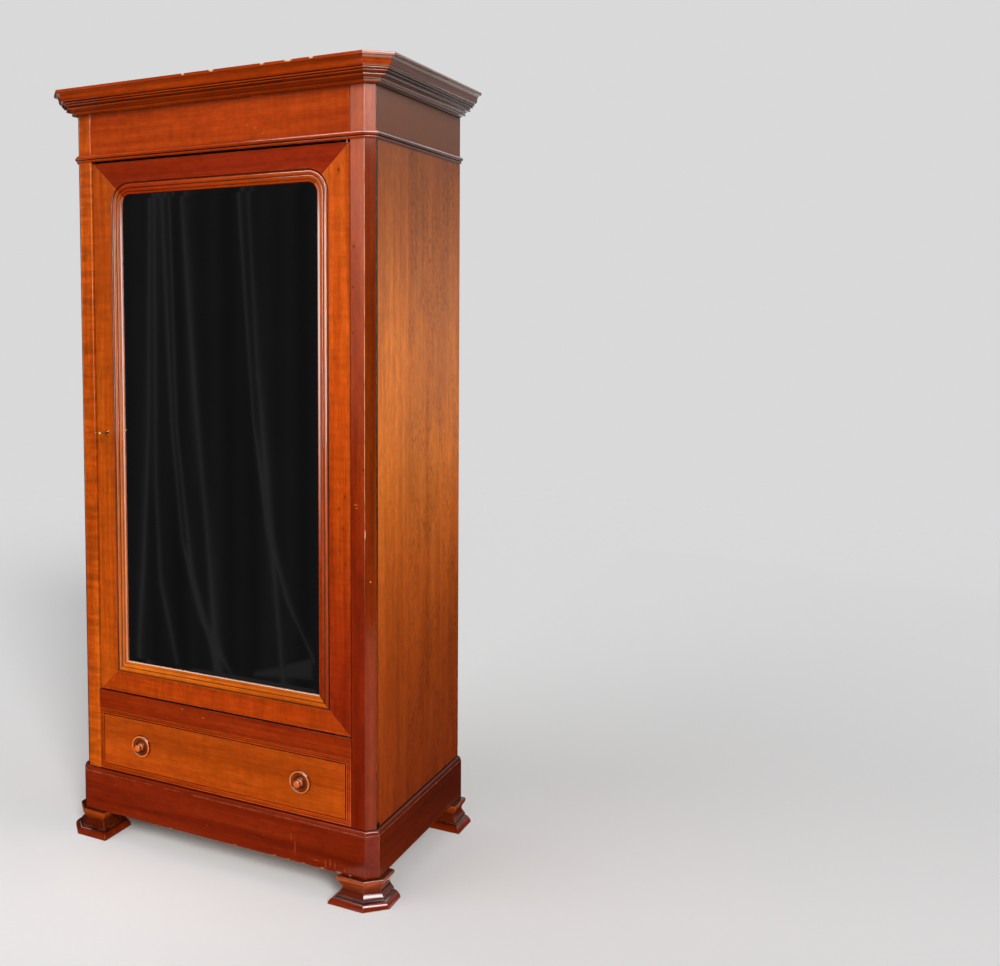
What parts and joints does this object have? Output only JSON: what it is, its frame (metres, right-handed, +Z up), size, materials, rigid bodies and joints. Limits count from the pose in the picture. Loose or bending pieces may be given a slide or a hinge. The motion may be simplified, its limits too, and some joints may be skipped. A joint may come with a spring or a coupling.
{
  "type": "mirrored armoire",
  "caption": "Tall lacquered cherry armoire: bevelled mirror door on pivot hinges with lock and key, drawer below, moulded cornice, canted corners and plinth on moulded feet.",
  "frame": {"origin": "on the floor under the middle of the outer box", "axes": "+Z up, +X to the right seen from the front, the front faces -Y"},
  "size_m": [1.0534, 0.6338, 2.1],
  "materials": {
    "golden_cherry": "satin lacquered cherry, golden orange",
    "red_cherry": "satin lacquered cherry, red brown",
    "side_cherry": "lacquered cherry veneer",
    "inside_wood": "plain unlacquered softwood",
    "back_sheet": "thin plywood",
    "mirror_glass": "silvered bevelled glass",
    "brass": "aged brass",
    "steel": "plain steel"
  },
  "bodies": {
    "case": {"foot_front_left": "red_cherry", "foot_front_right": "red_cherry", "foot_rear_left": "red_cherry", "foot_rear_right": "red_cherry", "plinth_front": "red_cherry", "plinth_left": "red_cherry", "plinth_right": "red_cherry", "plinth_rear": "inside_wood", "base_board": "inside_wood", "post_front_left": "golden_cherry", "post_front_right": "golden_cherry", "side_panel_left": "side_cherry", "side_panel_right": "side_cherry", "back_panel": "back_sheet", "back_rail_lower": "inside_wood", "back_rail_upper": "inside_wood", "floor_board": "inside_wood", "head_rail": "inside_wood", "top_board": "inside_wood", "drawer_rail": "red_cherry", "frieze_board": "golden_cherry", "drawer_surround": "red_cherry", "astragal_front": "red_cherry", "astragal_left": "red_cherry", "astragal_right": "red_cherry", "cornice_front": "red_cherry", "cornice_left": "red_cherry", "cornice_right": "red_cherry", "hat_shelf": "inside_wood", "shelf_batten_left": "inside_wood", "shelf_batten_right": "inside_wood", "hanging_rail": "brass", "rail_socket_left": "brass", "rail_socket_right": "brass", "drawer_runner_left": "inside_wood", "drawer_runner_right": "inside_wood", "hinge_bottom_plate": "steel", "hinge_top_plate": "steel"},
    "door": {"door_stile_left": "golden_cherry", "door_stile_right": "golden_cherry", "door_rail_top": "red_cherry", "door_rail_bottom": "red_cherry", "mirror_moulding": "golden_cherry", "mirror": "mirror_glass", "mirror_backing": "back_sheet", "hinge_bottom_socket": "steel", "hinge_top_socket": "steel", "escutcheon": "brass", "lock_case": "steel"},
    "drawer": {"drawer_front": "golden_cherry", "drawer_side_left": "inside_wood", "drawer_side_right": "inside_wood", "drawer_bottom": "back_sheet", "drawer_back": "inside_wood", "drawer_knob_left": "golden_cherry", "drawer_knob_right": "golden_cherry"},
    "key": {"key": "brass"},
    "bolt": {"lock_bolt": "steel"}
  },
  "joints": [
    {"name": "door_hinge", "type": "hinge", "parent": "case", "child": "door", "pos_m": [0.3895, -0.24115, 0.422], "axis": [0, 0, 1], "range_deg": [0, 110]},
    {"name": "drawer_slide", "type": "slide", "parent": "case", "child": "drawer", "axis": [0, -1, 0], "range_m": [0, 0.4]},
    {"name": "key_turn", "type": "hinge", "parent": "door", "child": "key", "pos_m": [-0.362, -0.24715, 1.158], "axis": [0, -1, 0], "range_deg": [0, 184]},
    {"name": "bolt_throw", "type": "slide", "parent": "door", "child": "bolt", "axis": [-1, 0, 0], "range_m": [0, 0.014]}
  ],
  "couplings": [
    {"joint": "key_turn", "follows": "bolt_throw", "rad_per_m": 224.39}
  ]
}
